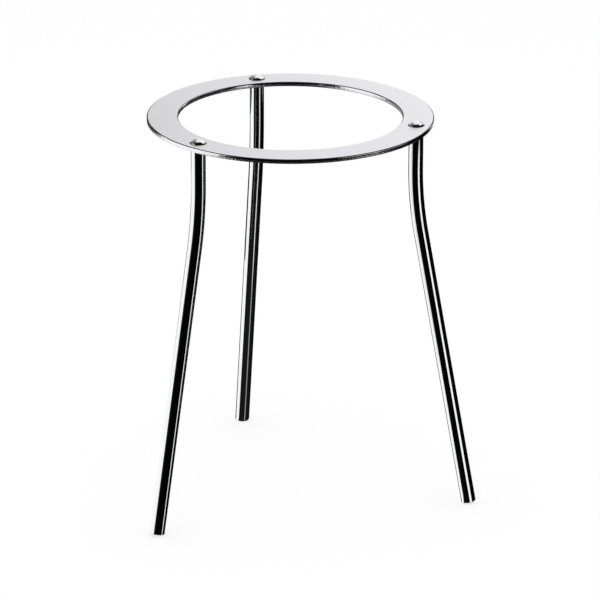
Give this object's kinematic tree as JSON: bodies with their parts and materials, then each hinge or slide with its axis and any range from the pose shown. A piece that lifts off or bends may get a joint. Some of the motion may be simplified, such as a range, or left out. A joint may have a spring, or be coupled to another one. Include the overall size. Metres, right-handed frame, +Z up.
{
  "type": "lab tripod stand",
  "caption": "Flat steel ring carried on splayed round legs that are riveted through it, for holding glassware or a gauze above a burner.",
  "frame": {"origin": "middle of the ring's bore, level with the ring's top face, where the stand carries its load; the bench is 216 mm below it", "axes": "+Z up along the ring's axis, +X from the ring's middle towards leg_right"},
  "size_m": [0.1843, 0.1852, 0.2183],
  "materials": {
    "ring_steel": "satin",
    "leg_steel": "mirror polished"
  },
  "bodies": {
    "root": {"ring_plate": "ring_steel", "leg_right": "leg_steel", "leg_back": "leg_steel", "leg_left": "leg_steel"}
  },
  "joints": []
}
